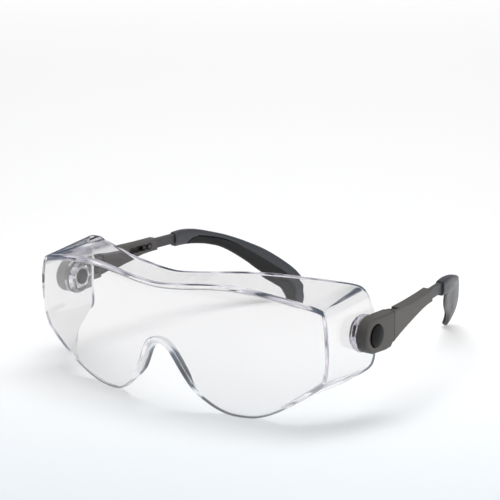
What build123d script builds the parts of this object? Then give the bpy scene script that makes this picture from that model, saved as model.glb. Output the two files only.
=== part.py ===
"""Clear over-spectacle eye protector with tilting, folding and length-adjustable temples.

Millimetres. X runs across the face, +Y from the lens towards the ears, +Z up. The glasses stand
as they do on a table, on the two lens lobes and the two temple tips. The origin is on that table,
under the middle of the whole. The wearer's left side is at +X and is modelled first; the right
side is its mirror image.
"""
import os
from math import atan2, cos, degrees, radians, sin, sqrt

from build123d import *

os.makedirs("parts", exist_ok=True)

# Lens: the doubly curved front
front_radius_across = 175.0
front_radius_upright = 96.0
front_apex_z = 40.0
wall = 2.2
overrun = 6.0

# Lens: outline seen from the front
corner_half_width = 70.3
corner_z = 48.5
brow_crest_z = 55.8
side_half_width = 71.6
side_middle_z = 33.0
jaw_half_width = 69.3
jaw_z = 18.6
cheek_half_width = 58.5
cheek_z = 10.5
lobe_join_half_width = 46.3
lobe_join_z = 3.1
lobe_half_spacing = 34.0
nose_foot_half_width = 15.4
nose_foot_z = 7.9
nose_top_z = 30.0
brow_corner_radius = 3.0
brow_rear_corner_radius = 5.0
brow_line_shares = [(0.0, 0.62), (0.17, 0.75), (0.33, 0.94), (0.47, 1.0), (0.6, 0.96), (0.71, 0.83),
                    (0.84, 0.58)]
brow_slope_shares = [0.75, 0.9, 1.05, 0.9, 0.6, 0.42, 0.35]
lobe_shares = [(0.53, 0.24), (0.0, 0.0), (-0.35, 0.08), (-0.7, 0.5)]
nose_shares = [(0.93, 0.18), (0.74, 0.48), (0.58, 0.68), (0.41, 0.86), (0.2, 0.965)]

# Lens: depth
brow_slope = 0.2
side_flare = 0.03
shield_rear_y = 49.0
shield_top_corner_radius = 11.0
shield_bottom_corner_radius = 3.5
shield_top_z = 52.5
shield_bottom_z = 18.4
brow_rim_y = 14.5
brow_rim_shares = [(0.17, 0.01), (0.284, 0.03), (0.41, 0.09), (0.525, 0.2), (0.713, 0.49), (0.795, 0.67),
                   (0.873, 0.79), (0.925, 0.835), (0.955, 0.87)]
brow_rim_bottom_z = 46.0
cheek_rim_y = 14.5
cheek_rim_half_width = 52.0
cheek_rim_shares = [(0.20, 0.13), (0.38, 0.25), (0.555, 0.41), (0.74, 0.64), (0.88, 0.82), (0.945, 0.905)]
nose_flange_top_y = 5.2
nose_flange_foot_y = 8.0
nose_flange_lean = 2.0

# Pivot of the temple on the side shield
pivot_y = 39.4
pivot_z = 35.1
outer_boss_radius = 8.0
outer_boss_proud = 1.8
inner_boss_radius = 7.9
inner_boss_depth = 3.2
hex_sides = 6
hex_pocket_across_flats = 9.0
hex_pocket_depth = 1.6
hex_insert_thickness = 1.0
hex_clearance = 0.15
stud_radius = 2.4
running_clearance = 0.05
button_radius = 4.4
button_recess_radius = 4.8
button_recess_depth = 1.8
button_height = 0.6
button_dome = 0.7
rivet_radius = 3.3
rivet_height = 0.5
rivet_dome = 0.9
washer_radius = 5.3
washer_thickness = 0.8
washer_gap = 0.1

# Temple head, the block that the pivot holds; places are from the pivot
head_gap = 0.3
head_thickness = 5.0
head_radius = 7.3
head_length = 13.1
head_rear_rise = 6.8
head_heel_length = 7.6
head_heel_drop = 7.9
head_toe_length = 11.4
head_toe_drop = 7.7
head_rear_drop = 5.9
head_edge_radius = 1.1

# Fold hinge; heights are from the pivot
hinge_setback = 3.3
hinge_inset = 3.9
knuckle_radius = 2.2
knuckle_gap = 0.3
knuckle_drop = 2.5
knuckle_rise = 3.2
lug_drop = 5.0
lug_overlap = 1.0
pin_radius = 0.8
pin_head_inset = 0.4
leaf_clearance = 0.5
hinge_line_gap = 0.3

# Temple arm, the channel that the slider runs in
arm_length = 39.2
arm_run_in = 5.1
arm_end_half_thickness = 2.3
arm_end_rise = 2.8
arm_end_drop = 2.5
arm_top_knee_length = 15.0
arm_top_knee_rise = 0.4
arm_bottom_shares = [(0.25, 0.38), (0.49, 0.66), (0.72, 0.9)]
arm_edge_radius = 0.5
channel_depth = 20.0
channel_half_width = 1.25
channel_half_height = 2.4

# Length slider and its catch
slider_lift = 2.7
slider_half_width = 1.0
slider_half_height = 2.1
slider_inside = 7.5
slider_seat = 5.0
catch_setback = 4.6
catch_pitch = 3.6
catch_steps = 3
catch_radius = 1.05
catch_slot_half_width = 1.25
catch_notch_radius = 1.6
catch_clearance = 0.2

# Temple end, the curved blade behind the ear
end_gap = 12.6
end_length = 69.5
end_inset = 34.0
end_collar_rise = 2.8
end_corner_radius = 1.1
end_collar_thickness = 4.2
end_blade_thickness = 3.2
end_top_shares = [(0.0, 0.0, 1.0), (0.085, 0.02, 1.01), (0.19, 0.05, 0.98), (0.315, 0.115, 0.918),
                  (0.43, 0.227, 0.842), (0.573, 0.374, 0.722), (0.712, 0.535, 0.579),
                  (0.882, 0.741, 0.355), (0.977, 0.918, 0.153), (0.961, 0.968, 0.0)]
end_bottom_shares = [(0.0, 0.0, 0.84), (0.085, 0.022, 0.835), (0.18, 0.068, 0.817), (0.285, 0.144, 0.778),
                     (0.37, 0.297, 0.722), (0.476, 0.474, 0.576), (0.593, 0.621, 0.387),
                     (0.716, 0.759, 0.192), (0.813, 0.844, 0.074), (0.872, 0.915, 0.0)]
end_thickness_shares = [1.0, 0.75, 0.3, 0.1, 0.0, 0.0, 0.0, 0.0, 0.0, -0.2]
pad_height_share = 0.52
pad_depth_share = 0.5
sections_before_pad_count = 1
sections_to_pad_end_count = 9

# Worked out from the sizes above
outer_boss_x = side_half_width + outer_boss_proud
inner_boss_x = side_half_width - inner_boss_depth
head_inner_x = outer_boss_x + head_gap
head_outer_x = head_inner_x + head_thickness
head_rear_y = pivot_y + head_length
head_top_z = pivot_z + head_rear_rise
head_rear_bottom_z = pivot_z - head_rear_drop
hinge_x = head_outer_x - hinge_inset
hinge_y = head_rear_y + hinge_setback
knuckle_bottom_z = pivot_z - knuckle_drop
knuckle_top_z = pivot_z + knuckle_rise
lug_bottom_z = pivot_z - lug_drop
lug_top_z = head_top_z - head_edge_radius
slider_z = pivot_z + slider_lift
arm_end_x = head_outer_x - arm_run_in - arm_end_half_thickness
arm_end_y = head_rear_y + arm_length
arm_angle = degrees(atan2(arm_run_in, arm_length))
arm_frame = Location((arm_end_x, arm_end_y, slider_z), (0, 0, arm_angle))
end_top_z = slider_z + end_collar_rise
rear_plane_y = shield_rear_y + overrun
below_floor_z = -overrun
above_brow_z = brow_crest_z + brow_slope * rear_plane_y + overrun


def front_y(x, z):
    """Depth of the lens's outer face at a place seen from the front."""
    across = front_radius_across - sqrt(front_radius_across**2 - x**2)
    upright = front_radius_upright - sqrt(front_radius_upright**2 - (z - front_apex_z) ** 2)
    return across + upright


def turned_front(inset):
    """Solid of revolution whose near side is the lens's curved face, set back by inset."""
    radius = front_radius_upright - inset
    axis_to_centre = front_radius_across - front_radius_upright
    low = below_floor_z - overrun
    high = above_brow_z + overrun

    def reach(z):
        return axis_to_centre + sqrt(radius**2 - (z - front_apex_z) ** 2)

    with BuildPart() as body:
        with BuildSketch(Plane.XZ):
            with BuildLine():
                Polyline((reach(high), high), (0, high), (0, low), (reach(low), low))
                ThreePointArc((reach(low), low), (reach(front_apex_z), front_apex_z), (reach(high), high))
            make_face()
        revolve(axis=Axis.Z)
    return body.part.moved(Location((0, front_radius_across, 0)))


def shell_outline(y, inset):
    """Closed outline of the lens shell in the plane at depth y, drawn in by inset."""
    flare = side_flare * (y - front_y(corner_half_width, corner_z))
    depth_share = y / rear_plane_y
    corner = brow_corner_radius + (brow_rear_corner_radius - brow_corner_radius) * max(depth_share, 0)
    top = []
    for (across_share, up_share), slope_share in zip(brow_line_shares, brow_slope_shares):
        x = across_share * corner_half_width
        z = corner_z + up_share * (brow_crest_z - corner_z)
        top.append((x, z + brow_slope * slope_share * (y - front_y(x, z)) - inset))
    shoulder_x = corner_half_width - corner + flare
    shoulder_z = top[-1][1] - corner / 2
    ear_x = (corner_half_width + side_half_width) / 2 + flare - inset
    ear_z = shoulder_z - corner
    middle = (side_half_width + flare - inset, side_middle_z)
    jaw = (jaw_half_width + flare - inset, jaw_z + inset / 2)
    cheek = (cheek_half_width + flare - inset / 2, cheek_z + inset)
    join = (lobe_join_half_width + flare - inset / 2, lobe_join_z + inset)
    right = [(x, z) for x, z in top] + [(shoulder_x, shoulder_z)]
    left = [(-x, z) for x, z in reversed(right) if x > 0]
    keel = (lobe_half_spacing, below_floor_z - inset)

    def flip(point):
        return (-point[0], point[1])

    with BuildSketch(Plane.XZ.offset(-y)) as sketch:
        with BuildLine():
            crown = Spline(*left, *right)
            TangentArc(crown @ 1, (ear_x, ear_z), tangent=crown % 1)
            ThreePointArc((ear_x, ear_z), middle, jaw)
            ThreePointArc(jaw, cheek, join)
            Polyline(join, keel, flip(keel), flip(join))
            ThreePointArc(flip(join), flip(cheek), flip(jaw))
            ThreePointArc(flip(jaw), flip(middle), (-ear_x, ear_z))
            TangentArc(crown @ 0, (-ear_x, ear_z), tangent=(crown % 0) * -1)
        make_face()
    return sketch.sketch


def shell_prism(inset):
    """The shell's outer or inner form, ruled from a plane ahead of the lens to one behind it."""
    return loft([shell_outline(-overrun, inset), shell_outline(rear_plane_y + inset, inset)], ruled=True)


def nose_arch(lean):
    """Points up one side of the nose opening, drawn in by lean."""
    foot = (nose_foot_half_width - lean, nose_foot_z)
    rise = nose_top_z - nose_foot_z
    arch = []
    for x_share, z_share in nose_shares:
        x = nose_foot_half_width * x_share - lean * (1 - z_share)
        arch.append((x, nose_foot_z + (rise - lean) * z_share))
    return [foot] + arch + [(0, nose_top_z - lean)]


def lower_cutter():
    """Everything below the lens's lobes and inside its nose opening."""
    reach = lobe_join_half_width - lobe_half_spacing
    inner = lobe_half_spacing - nose_foot_half_width
    lobe = []
    for across, up in lobe_shares:
        span = reach if across > 0 else inner
        height = lobe_join_z if across > 0 else nose_foot_z
        lobe.append((lobe_half_spacing + across * span, up * height))
    arch = nose_arch(0)

    def flip(points):
        return [(-x, z) for x, z in points]

    lobe_line = [(lobe_join_half_width, lobe_join_z)] + lobe + [arch[0]]
    with BuildSketch(Plane.XZ.offset(overrun)) as sketch:
        with BuildLine():
            Spline(*lobe_line)
            Spline(*arch, *reversed(flip(arch[:-1])))
            Spline(*reversed(flip(lobe_line)))
            floor_z = below_floor_z - overrun
            Polyline(
                (-lobe_join_half_width, lobe_join_z),
                (-lobe_join_half_width, floor_z),
                (lobe_join_half_width, floor_z),
                (lobe_join_half_width, lobe_join_z),
            )
        make_face()
    return extrude(sketch.sketch, amount=-(rear_plane_y + 2 * overrun))


def brow_rim_cutter():
    """What lies behind the brow's rear rim, seen from above."""
    span = shield_rear_y - brow_rim_y
    half = [(0, brow_rim_y)]
    half += [(x * corner_half_width, brow_rim_y + y * span) for x, y in brow_rim_shares]
    half += [(corner_half_width - wall, rear_plane_y)]
    mirrored = [(-x, y) for x, y in reversed(half[1:])]
    with BuildSketch(Plane.XY.offset(brow_rim_bottom_z)) as sketch:
        with BuildLine():
            Spline(*mirrored, *half)
            far_y = rear_plane_y + overrun
            Polyline(half[-1], (half[-1][0], far_y), (-half[-1][0], far_y), mirrored[0])
        make_face()
    return extrude(sketch.sketch, amount=above_brow_z + overrun - brow_rim_bottom_z)


def cheek_rim_cutter():
    """What lies behind the shield's lower rim, seen from above."""
    span_x = side_half_width - cheek_rim_half_width
    span_y = shield_rear_y - cheek_rim_y
    rim = [(cheek_rim_half_width, cheek_rim_y)]
    rim += [(cheek_rim_half_width + x * span_x, cheek_rim_y + y * span_y) for x, y in cheek_rim_shares]
    rim += [(side_half_width + wall, rear_plane_y)]
    mirrored = [(-x, y) for x, y in reversed(rim)]
    far_y = rear_plane_y + overrun
    with BuildSketch(Plane.XY.offset(below_floor_z - overrun)) as sketch:
        with BuildLine():
            Spline(*rim)
            Polyline(rim[-1], (rim[-1][0], far_y), (-rim[-1][0], far_y), mirrored[0])
            Spline(*mirrored)
            Line(mirrored[-1], rim[0])
        make_face()
    return extrude(sketch.sketch, amount=shield_bottom_z - below_floor_z + overrun)


def side_view_keeper():
    """The side view that the shields keep: a straight rear edge with two round corners."""
    low = below_floor_z - 2 * overrun
    high = above_brow_z + 2 * overrun
    front = -2 * overrun
    inner_y = shield_rear_y - shield_bottom_corner_radius
    knee_y = shield_rear_y - shield_top_corner_radius
    half = side_half_width + 2 * overrun
    with BuildSketch(Plane.YZ.offset(-half)) as sketch:
        with BuildLine():
            Polyline((inner_y, shield_bottom_z), (inner_y, low), (front, low), (front, high))
            Line((front, high), (knee_y, high))
            Line((knee_y, high), (knee_y, shield_top_z))
            RadiusArc(
                (knee_y, shield_top_z),
                (shield_rear_y, shield_top_z - shield_top_corner_radius),
                shield_top_corner_radius,
            )
            Line(
                (shield_rear_y, shield_top_z - shield_top_corner_radius),
                (shield_rear_y, shield_bottom_z + shield_bottom_corner_radius),
            )
            RadiusArc(
                (shield_rear_y, shield_bottom_z + shield_bottom_corner_radius),
                (inner_y, shield_bottom_z),
                shield_bottom_corner_radius,
            )
        make_face()
    return extrude(sketch.sketch, amount=2 * half)


def nose_flange():
    """The rim that turns back around the nose opening."""
    rise = nose_top_z - nose_foot_z

    def band(y, lean):
        inner = nose_arch(lean)
        outer = []
        for x, z in inner:
            upward = ((z - nose_foot_z) / rise) ** 2
            outer.append((x + wall * (1 - upward), z + wall * upward))
        mirrored_inner = [(-x, z) for x, z in reversed(inner[:-1])]
        mirrored_outer = [(-x, z) for x, z in reversed(outer[:-1])]
        with BuildSketch(Plane.XZ.offset(-y)) as sketch:
            with BuildLine():
                Spline(*inner, *mirrored_inner)
                Spline(*outer, *mirrored_outer)
                Line(inner[0], outer[0])
                Line(mirrored_inner[-1], mirrored_outer[-1])
            make_face()
        return sketch.sketch

    steep = (nose_flange_foot_y - nose_flange_top_y) / rise
    low_z = nose_foot_z - overrun
    high_z = nose_top_z + overrun
    with BuildSketch(Plane.YZ.offset(-nose_foot_half_width - overrun)) as side:
        with BuildLine():
            Polyline(
                (-overrun, low_z),
                (nose_flange_foot_y + steep * overrun, low_z),
                (nose_flange_top_y - steep * overrun, high_z),
                (-overrun, high_z),
                close=True,
            )
        make_face()
    keep = extrude(side.sketch, amount=2 * (nose_foot_half_width + overrun))
    return loft([band(-overrun, 0), band(nose_flange_foot_y + overrun, nose_flange_lean)], ruled=True) & keep


def on_pivot(x):
    """Plane square to the pivot's axis at x, facing outwards."""
    return Plane(origin=(x, pivot_y, pivot_z), x_dir=(0, 1, 0), z_dir=(1, 0, 0))


def disc(radius, x_from, x_to):
    """Cylinder on the pivot's axis between two values of x."""
    return extrude(on_pivot(x_from) * Circle(radius), amount=x_to - x_from)


def hexagon(across_flats, x_from, x_to):
    """Hexagonal prism on the pivot's axis, with its flats facing front and rear."""
    corner_radius = across_flats / 2 / cos(radians(180 / hex_sides))
    flat = RegularPolygon(corner_radius, hex_sides, rotation=180 / hex_sides)
    return extrude(on_pivot(x_from) * flat, amount=x_to - x_from)


def both_sides(part):
    """A left piece together with its mirror image."""
    return part + mirror(part, about=Plane.YZ)


def make_lens():
    """The one-piece lens with its brow, side shields, nose flange and pivot bosses."""
    outer_front = turned_front(0)
    form = shell_prism(0) & outer_front
    form -= lower_cutter()
    form -= brow_rim_cutter()
    form -= cheek_rim_cutter()
    form &= side_view_keeper()
    shell = form - (shell_prism(wall) & turned_front(wall))
    shell += nose_flange() & outer_front
    bosses = disc(outer_boss_radius, side_half_width - wall / 2, outer_boss_x)
    bosses += disc(inner_boss_radius, inner_boss_x, side_half_width - wall / 2)
    shell += both_sides(bosses)
    holes = hexagon(hex_pocket_across_flats, inner_boss_x - overrun, inner_boss_x + hex_pocket_depth)
    holes += disc(stud_radius + running_clearance, inner_boss_x, outer_boss_x + overrun)
    return shell - both_sides(holes)


def make_hex_insert():
    """Clear hexagonal keeper that sits in the boss's pocket."""
    floor_x = inner_boss_x + hex_pocket_depth
    ring = hexagon(hex_pocket_across_flats - 2 * hex_clearance, floor_x - hex_insert_thickness, floor_x)
    bore_radius = stud_radius + running_clearance
    return ring - disc(bore_radius, floor_x - hex_insert_thickness - overrun, floor_x + overrun)


def make_detent_washer():
    """Ring between the boss and the head that holds the chosen tilt."""
    inner_x = outer_boss_x + washer_gap
    ring = disc(washer_radius, inner_x, inner_x + washer_thickness)
    return ring - disc(stud_radius + running_clearance, inner_x - overrun, inner_x + overrun)


def make_pivot_stud():
    """Domed button, shank and inner rivet head in one piece, turned about the pivot's axis."""
    seat_x = head_outer_x - button_recess_depth
    rim_x = head_outer_x + button_height
    insert_x = inner_boss_x + hex_pocket_depth - hex_insert_thickness
    rivet_x = insert_x - rivet_height
    rivet_top = (rivet_x - rivet_dome, 0)
    button_top = (rim_x + button_dome, 0)
    profile_plane = Plane(origin=(0, pivot_y, pivot_z), x_dir=(1, 0, 0), z_dir=(0, -1, 0))
    with BuildSketch(profile_plane) as profile:
        with BuildLine():
            TangentArc(rivet_top, (rivet_x, rivet_radius), tangent=(0, 1))
            Polyline(
                (rivet_x, rivet_radius),
                (insert_x, rivet_radius),
                (insert_x, stud_radius),
                (seat_x, stud_radius),
                (seat_x, button_radius),
                (rim_x, button_radius),
            )
            TangentArc(button_top, (rim_x, button_radius), tangent=(0, 1))
            Line(rivet_top, button_top)
        make_face()
    return revolve(profile.sketch, axis=Axis((0, pivot_y, pivot_z), (1, 0, 0)))


def make_head():
    """Block on the pivot, with two lugs for the fold hinge."""
    with BuildSketch(Plane.YZ.offset(head_inner_x)) as sketch:
        with BuildLine():
            top = (pivot_y, pivot_z + head_radius)
            bottom = (pivot_y, pivot_z - head_radius)
            ThreePointArc(top, (pivot_y - head_radius, pivot_z), bottom)
            Polyline(
                bottom,
                (pivot_y + head_heel_length, pivot_z - head_heel_drop),
                (pivot_y + head_toe_length, pivot_z - head_toe_drop),
                (head_rear_y, head_rear_bottom_z),
                (head_rear_y, head_top_z),
                top,
            )
        make_face()
    block = extrude(sketch.sketch, amount=head_thickness)
    block = fillet(block.faces().sort_by(Axis.X)[-1].edges().sort_by(Axis.Y)[:-1], head_edge_radius)
    lug_rear = Pos(hinge_x, hinge_y, 0) * Circle(knuckle_radius)
    web_length = hinge_setback + lug_overlap
    web = Pos(hinge_x, hinge_y - web_length / 2, 0) * Rectangle(2 * knuckle_radius, web_length)
    high_height = lug_top_z - knuckle_top_z - knuckle_gap
    lugs = Pos(0, 0, knuckle_top_z + knuckle_gap) * extrude(lug_rear + web, high_height)
    low_height = knuckle_bottom_z - knuckle_gap - lug_bottom_z
    lugs += Pos(0, 0, lug_bottom_z) * extrude(lug_rear + web, low_height)
    block += lugs
    bore_height = head_top_z - lug_bottom_z + 2 * overrun
    bore_z = (head_top_z + lug_bottom_z) / 2
    block -= Location((hinge_x, hinge_y, bore_z)) * Cylinder(pin_radius, bore_height)
    block -= disc(stud_radius + running_clearance, head_inner_x - overrun, head_outer_x + overrun)
    block -= disc(button_recess_radius, head_outer_x - button_recess_depth, head_outer_x + overrun)
    washer_seat_x = outer_boss_x + washer_gap + washer_thickness
    return block - disc(washer_radius + washer_gap, head_inner_x - overrun, washer_seat_x)


def make_hinge_pin():
    """Steel pin through the head's lugs and the arm's knuckle."""
    low = lug_bottom_z + pin_head_inset
    high = lug_top_z - pin_head_inset
    return Location((hinge_x, hinge_y, (low + high) / 2)) * Cylinder(pin_radius, high - low)


def arm_box(u_from, u_to, half_width, half_height):
    """Box along the arm's axis, centred on it."""
    box = Box(2 * half_width, u_to - u_from, 2 * half_height)
    return arm_frame * Location((0, (u_from + u_to) / 2, 0)) * box


def catch_hole(radius, u, reach):
    """Round bar through the arm's inner face at a place along its axis."""
    bar = Cylinder(radius, reach)
    return arm_frame * Location((-reach / 2, u, 0), (0, 90, 0)) * bar


def make_arm():
    """Tapering arm with its knuckle, its channel and its wavy catch slot."""
    front_face_y = head_rear_y + hinge_line_gap
    end_bottom_z = slider_z - arm_end_drop
    end_top_z = slider_z + arm_end_rise
    drop = end_bottom_z - head_rear_bottom_z
    length = arm_end_y - front_face_y
    bottom = [(front_face_y + y * length, head_rear_bottom_z + z * drop) for y, z in arm_bottom_shares]
    front_bottom = (front_face_y, head_rear_bottom_z)
    front_top = (front_face_y, head_top_z)
    knee = (head_rear_y + arm_top_knee_length, end_top_z + arm_top_knee_rise)
    rear_top = (arm_end_y, end_top_z)
    rear_bottom = (arm_end_y, end_bottom_z)
    with BuildSketch(Plane.YZ) as side_view:
        with BuildLine():
            Line(front_bottom, front_top)
            Spline(front_top, knee, rear_top)
            Line(rear_top, rear_bottom)
            Spline(rear_bottom, *reversed(bottom), front_bottom)
        make_face()
    blank = extrude(side_view.sketch, amount=head_outer_x + overrun)
    leaf_y = hinge_y + knuckle_radius + leaf_clearance
    inner_x = hinge_x - knuckle_radius / 2
    skin_x = hinge_x + knuckle_radius + hinge_line_gap
    with BuildSketch() as plan:
        with BuildLine():
            Polyline(
                (head_outer_x, front_face_y),
                (arm_end_x + arm_end_half_thickness, arm_end_y),
                (arm_end_x - arm_end_half_thickness, arm_end_y),
                (inner_x, leaf_y),
                (skin_x, leaf_y),
                (skin_x, front_face_y),
                close=True,
            )
        make_face()
    arm = blank & extrude(plan.sketch, amount=above_brow_z)
    arm = fillet(arm.faces().sort_by(SortBy.AREA)[-1].edges(), arm_edge_radius)
    knuckle = Pos(hinge_x, hinge_y, 0) * Circle(knuckle_radius)
    web_length = leaf_y + knuckle_radius - hinge_y
    knuckle += Pos(hinge_x, hinge_y + web_length / 2, 0) * Rectangle(2 * knuckle_radius, web_length)
    arm += Pos(0, 0, knuckle_bottom_z) * extrude(knuckle, knuckle_top_z - knuckle_bottom_z)
    bore_height = knuckle_top_z - knuckle_bottom_z + 2 * overrun
    bore_z = (knuckle_bottom_z + knuckle_top_z) / 2
    arm -= Location((hinge_x, hinge_y, bore_z)) * Cylinder(pin_radius + running_clearance, bore_height)
    arm -= arm_box(-channel_depth, overrun, channel_half_width, channel_half_height)
    slot_reach = arm_end_half_thickness + overrun
    for step in range(catch_steps + 1):
        arm -= catch_hole(catch_notch_radius, -catch_setback - step * catch_pitch, slot_reach)
    travel = catch_pitch * catch_steps
    slot = Box(slot_reach, travel, 2 * catch_slot_half_width)
    return arm - arm_frame * Location((-slot_reach / 2, -catch_setback - travel / 2, 0)) * slot


def make_slider():
    """Flat bar that runs in the arm's channel and holds the temple end."""
    return arm_box(-slider_inside, end_gap + slider_seat, slider_half_width, slider_half_height)


def make_catch():
    """Round catch on the slider's inner face, standing in the arm's slot."""
    reach = arm_end_half_thickness + catch_clearance - slider_half_width
    peg = Cylinder(catch_radius, reach)
    place = Location((-slider_half_width - reach / 2, -catch_setback, 0), (0, 90, 0))
    return arm_frame * place * peg


def end_point(share):
    """A place on the temple end, from its shares of the end's length, inset and height."""
    start = arm_frame * Pos(0, end_gap, 0)
    y_share, x_share, z_share = share
    x = start.position.X - x_share * end_inset
    return Vector(x, start.position.Y + y_share * end_length, z_share * end_top_z)


def end_sections():
    """Plane, width and thickness of each section of the temple end, from the collar to the tip."""
    tops = [end_point(share) for share in end_top_shares]
    bottoms = [end_point(share) for share in end_bottom_shares]
    middles = [(top + bottom) * 0.5 for top, bottom in zip(tops, bottoms)]
    sections = []
    for index, (top, bottom) in enumerate(zip(tops, bottoms)):
        before = middles[max(index - 1, 0)]
        after = middles[min(index + 1, len(middles) - 1)]
        up = top - bottom
        along = after - before
        if index == 0:
            along = Vector(-sin(radians(arm_angle)), cos(radians(arm_angle)), 0)
        if index == len(middles) - 1:
            along = Vector(0, 0, -1)
        normal = along - up * (along.dot(up) / up.dot(up))
        plane = Plane(origin=middles[index], x_dir=up, z_dir=normal)
        share = end_thickness_shares[index]
        thickness = end_blade_thickness + share * (end_collar_thickness - end_blade_thickness)
        sections.append((plane, up.length, thickness))
    return sections


def make_end_blade():
    """The whole blade, hard part and pad together."""
    rings = []
    for plane, width, thickness in end_sections():
        rings.append(plane * RectangleRounded(width, thickness, end_corner_radius))
    return loft(rings)


def pad_region():
    """Space along the lower half of the blade's inner side that the pad fills."""
    rings = []
    for plane, width, thickness in end_sections()[sections_before_pad_count:sections_to_pad_end_count]:
        height = pad_height_share * width + overrun
        depth = pad_depth_share * thickness + overrun
        inner_sign = 1 if plane.y_dir.X < 0 else -1
        centre_up = pad_height_share * width - width / 2 - height / 2
        centre_in = inner_sign * (depth / 2 + thickness / 2 - pad_depth_share * thickness)
        rings.append(plane * Pos(centre_up, centre_in, 0) * Rectangle(height, depth))
    return loft(rings)


blade = make_end_blade()
soft_region = pad_region()
slider = make_slider()
left_pieces = {
    "hex_insert": make_hex_insert(),
    "detent_washer": make_detent_washer(),
    "pivot_stud": make_pivot_stud(),
    "temple_head": make_head(),
    "hinge_pin": make_hinge_pin(),
    "temple_arm": make_arm(),
    "length_slider": slider,
    "slider_catch": make_catch(),
    "temple_end": blade - soft_region - slider,
    "end_pad": blade & soft_region,
}

depth_middle = blade.bounding_box().max.Y / 2
to_origin = Location((0, -depth_middle, 0))
print(f"origin lies {depth_middle:.3f} mm behind the front of the lens")
export_step(to_origin * make_lens(), "parts/lens_shield.step")
for name, piece in left_pieces.items():
    export_step(to_origin * piece, f"parts/left_{name}.step")
    export_step(to_origin * mirror(piece, about=Plane.YZ), f"parts/right_{name}.step")
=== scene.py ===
"""Studio scene of a clear over-spectacle eye protector with adjustable grey temples.

Sizes are in millimetres in the part's own layout: X across the face, Y back from the front of
the lens, Z up from the table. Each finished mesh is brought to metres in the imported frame.
"""
from __future__ import annotations

import logging
import math
from dataclasses import dataclass
from enum import Enum, IntEnum
from typing import Any, Optional, Sequence

import bmesh
import bpy
from mathutils import Matrix, Quaternion, Vector


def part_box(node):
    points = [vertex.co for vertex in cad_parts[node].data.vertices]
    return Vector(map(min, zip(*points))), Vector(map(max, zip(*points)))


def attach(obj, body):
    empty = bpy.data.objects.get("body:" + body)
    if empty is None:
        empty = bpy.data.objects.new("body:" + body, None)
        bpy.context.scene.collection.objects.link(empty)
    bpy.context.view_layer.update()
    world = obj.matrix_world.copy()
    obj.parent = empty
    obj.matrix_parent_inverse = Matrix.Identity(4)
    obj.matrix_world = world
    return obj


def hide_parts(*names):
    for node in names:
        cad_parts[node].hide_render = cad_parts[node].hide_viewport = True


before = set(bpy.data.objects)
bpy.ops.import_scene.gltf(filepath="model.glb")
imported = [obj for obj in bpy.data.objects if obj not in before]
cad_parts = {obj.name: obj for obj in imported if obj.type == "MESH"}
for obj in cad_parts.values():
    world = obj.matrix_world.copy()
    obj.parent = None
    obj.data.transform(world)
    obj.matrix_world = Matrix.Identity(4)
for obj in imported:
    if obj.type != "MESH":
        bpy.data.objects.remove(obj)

LOG = logging.getLogger("eye_protector")
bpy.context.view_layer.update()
MM = 0.001

Mesh = bmesh.types.BMesh
Pair = tuple[float, float]
Triple = tuple[float, float, float]
Points = Sequence[Vector]


class Side(Enum):
    """The wearer's two sides, with the sign of their X."""

    LEFT = 1
    RIGHT = -1

    @property
    def label(self) -> str:
        """The side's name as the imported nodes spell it."""
        return self.name.lower()


class Easing(Enum):
    """Course of a fade, by Blender's name of it."""

    STRAIGHT = "LINEAR"
    SOFT = "SMOOTHSTEP"


class Combining(Enum):
    """Ways to combine two closed shapes, by Blender's name of them."""

    JOIN = "UNION"
    CUT = "DIFFERENCE"


class Ridge(IntEnum):
    """Loops of the lens's wall whose edges are rounded after it is built, and the rows between them."""

    NONE = 0
    RIM = 2
    RIM_INSIDE = 3
    FOLD_INSIDE = 4


class Socket:
    """A node's output, with arithmetic that adds Math nodes."""

    def __init__(self, tree: NodeBuilder, output: bpy.types.NodeSocket) -> None:
        """Keeps the builder that owns the node, and the node's output."""
        self.tree = tree
        self.output = output

    def _math(self, operation: str, first: Any, second: Any) -> Socket:
        """Adds one Math node for two values or sockets."""
        return self.tree.add("ShaderNodeMath", {"operation": operation}, {0: first, 1: second})

    def __add__(self, other: Any) -> Socket:
        """Sum."""
        return self._math("ADD", self, other)

    def __radd__(self, other: Any) -> Socket:
        """Sum, reflected."""
        return self._math("ADD", other, self)

    def __sub__(self, other: Any) -> Socket:
        """Difference."""
        return self._math("SUBTRACT", self, other)

    def __rsub__(self, other: Any) -> Socket:
        """Difference, reflected."""
        return self._math("SUBTRACT", other, self)

    def __mul__(self, other: Any) -> Socket:
        """Product."""
        return self._math("MULTIPLY", self, other)

    def __rmul__(self, other: Any) -> Socket:
        """Product, reflected."""
        return self._math("MULTIPLY", other, self)

    def above(self, level: float) -> Socket:
        """One where the value is over a level, else zero."""
        return self._math("GREATER_THAN", self, level)

    def at_least(self, floor: Any) -> Socket:
        """The larger of this value and another."""
        return self._math("MAXIMUM", self, floor)

    def at_most(self, cap: Any) -> Socket:
        """The smaller of this value and another."""
        return self._math("MINIMUM", self, cap)


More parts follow.
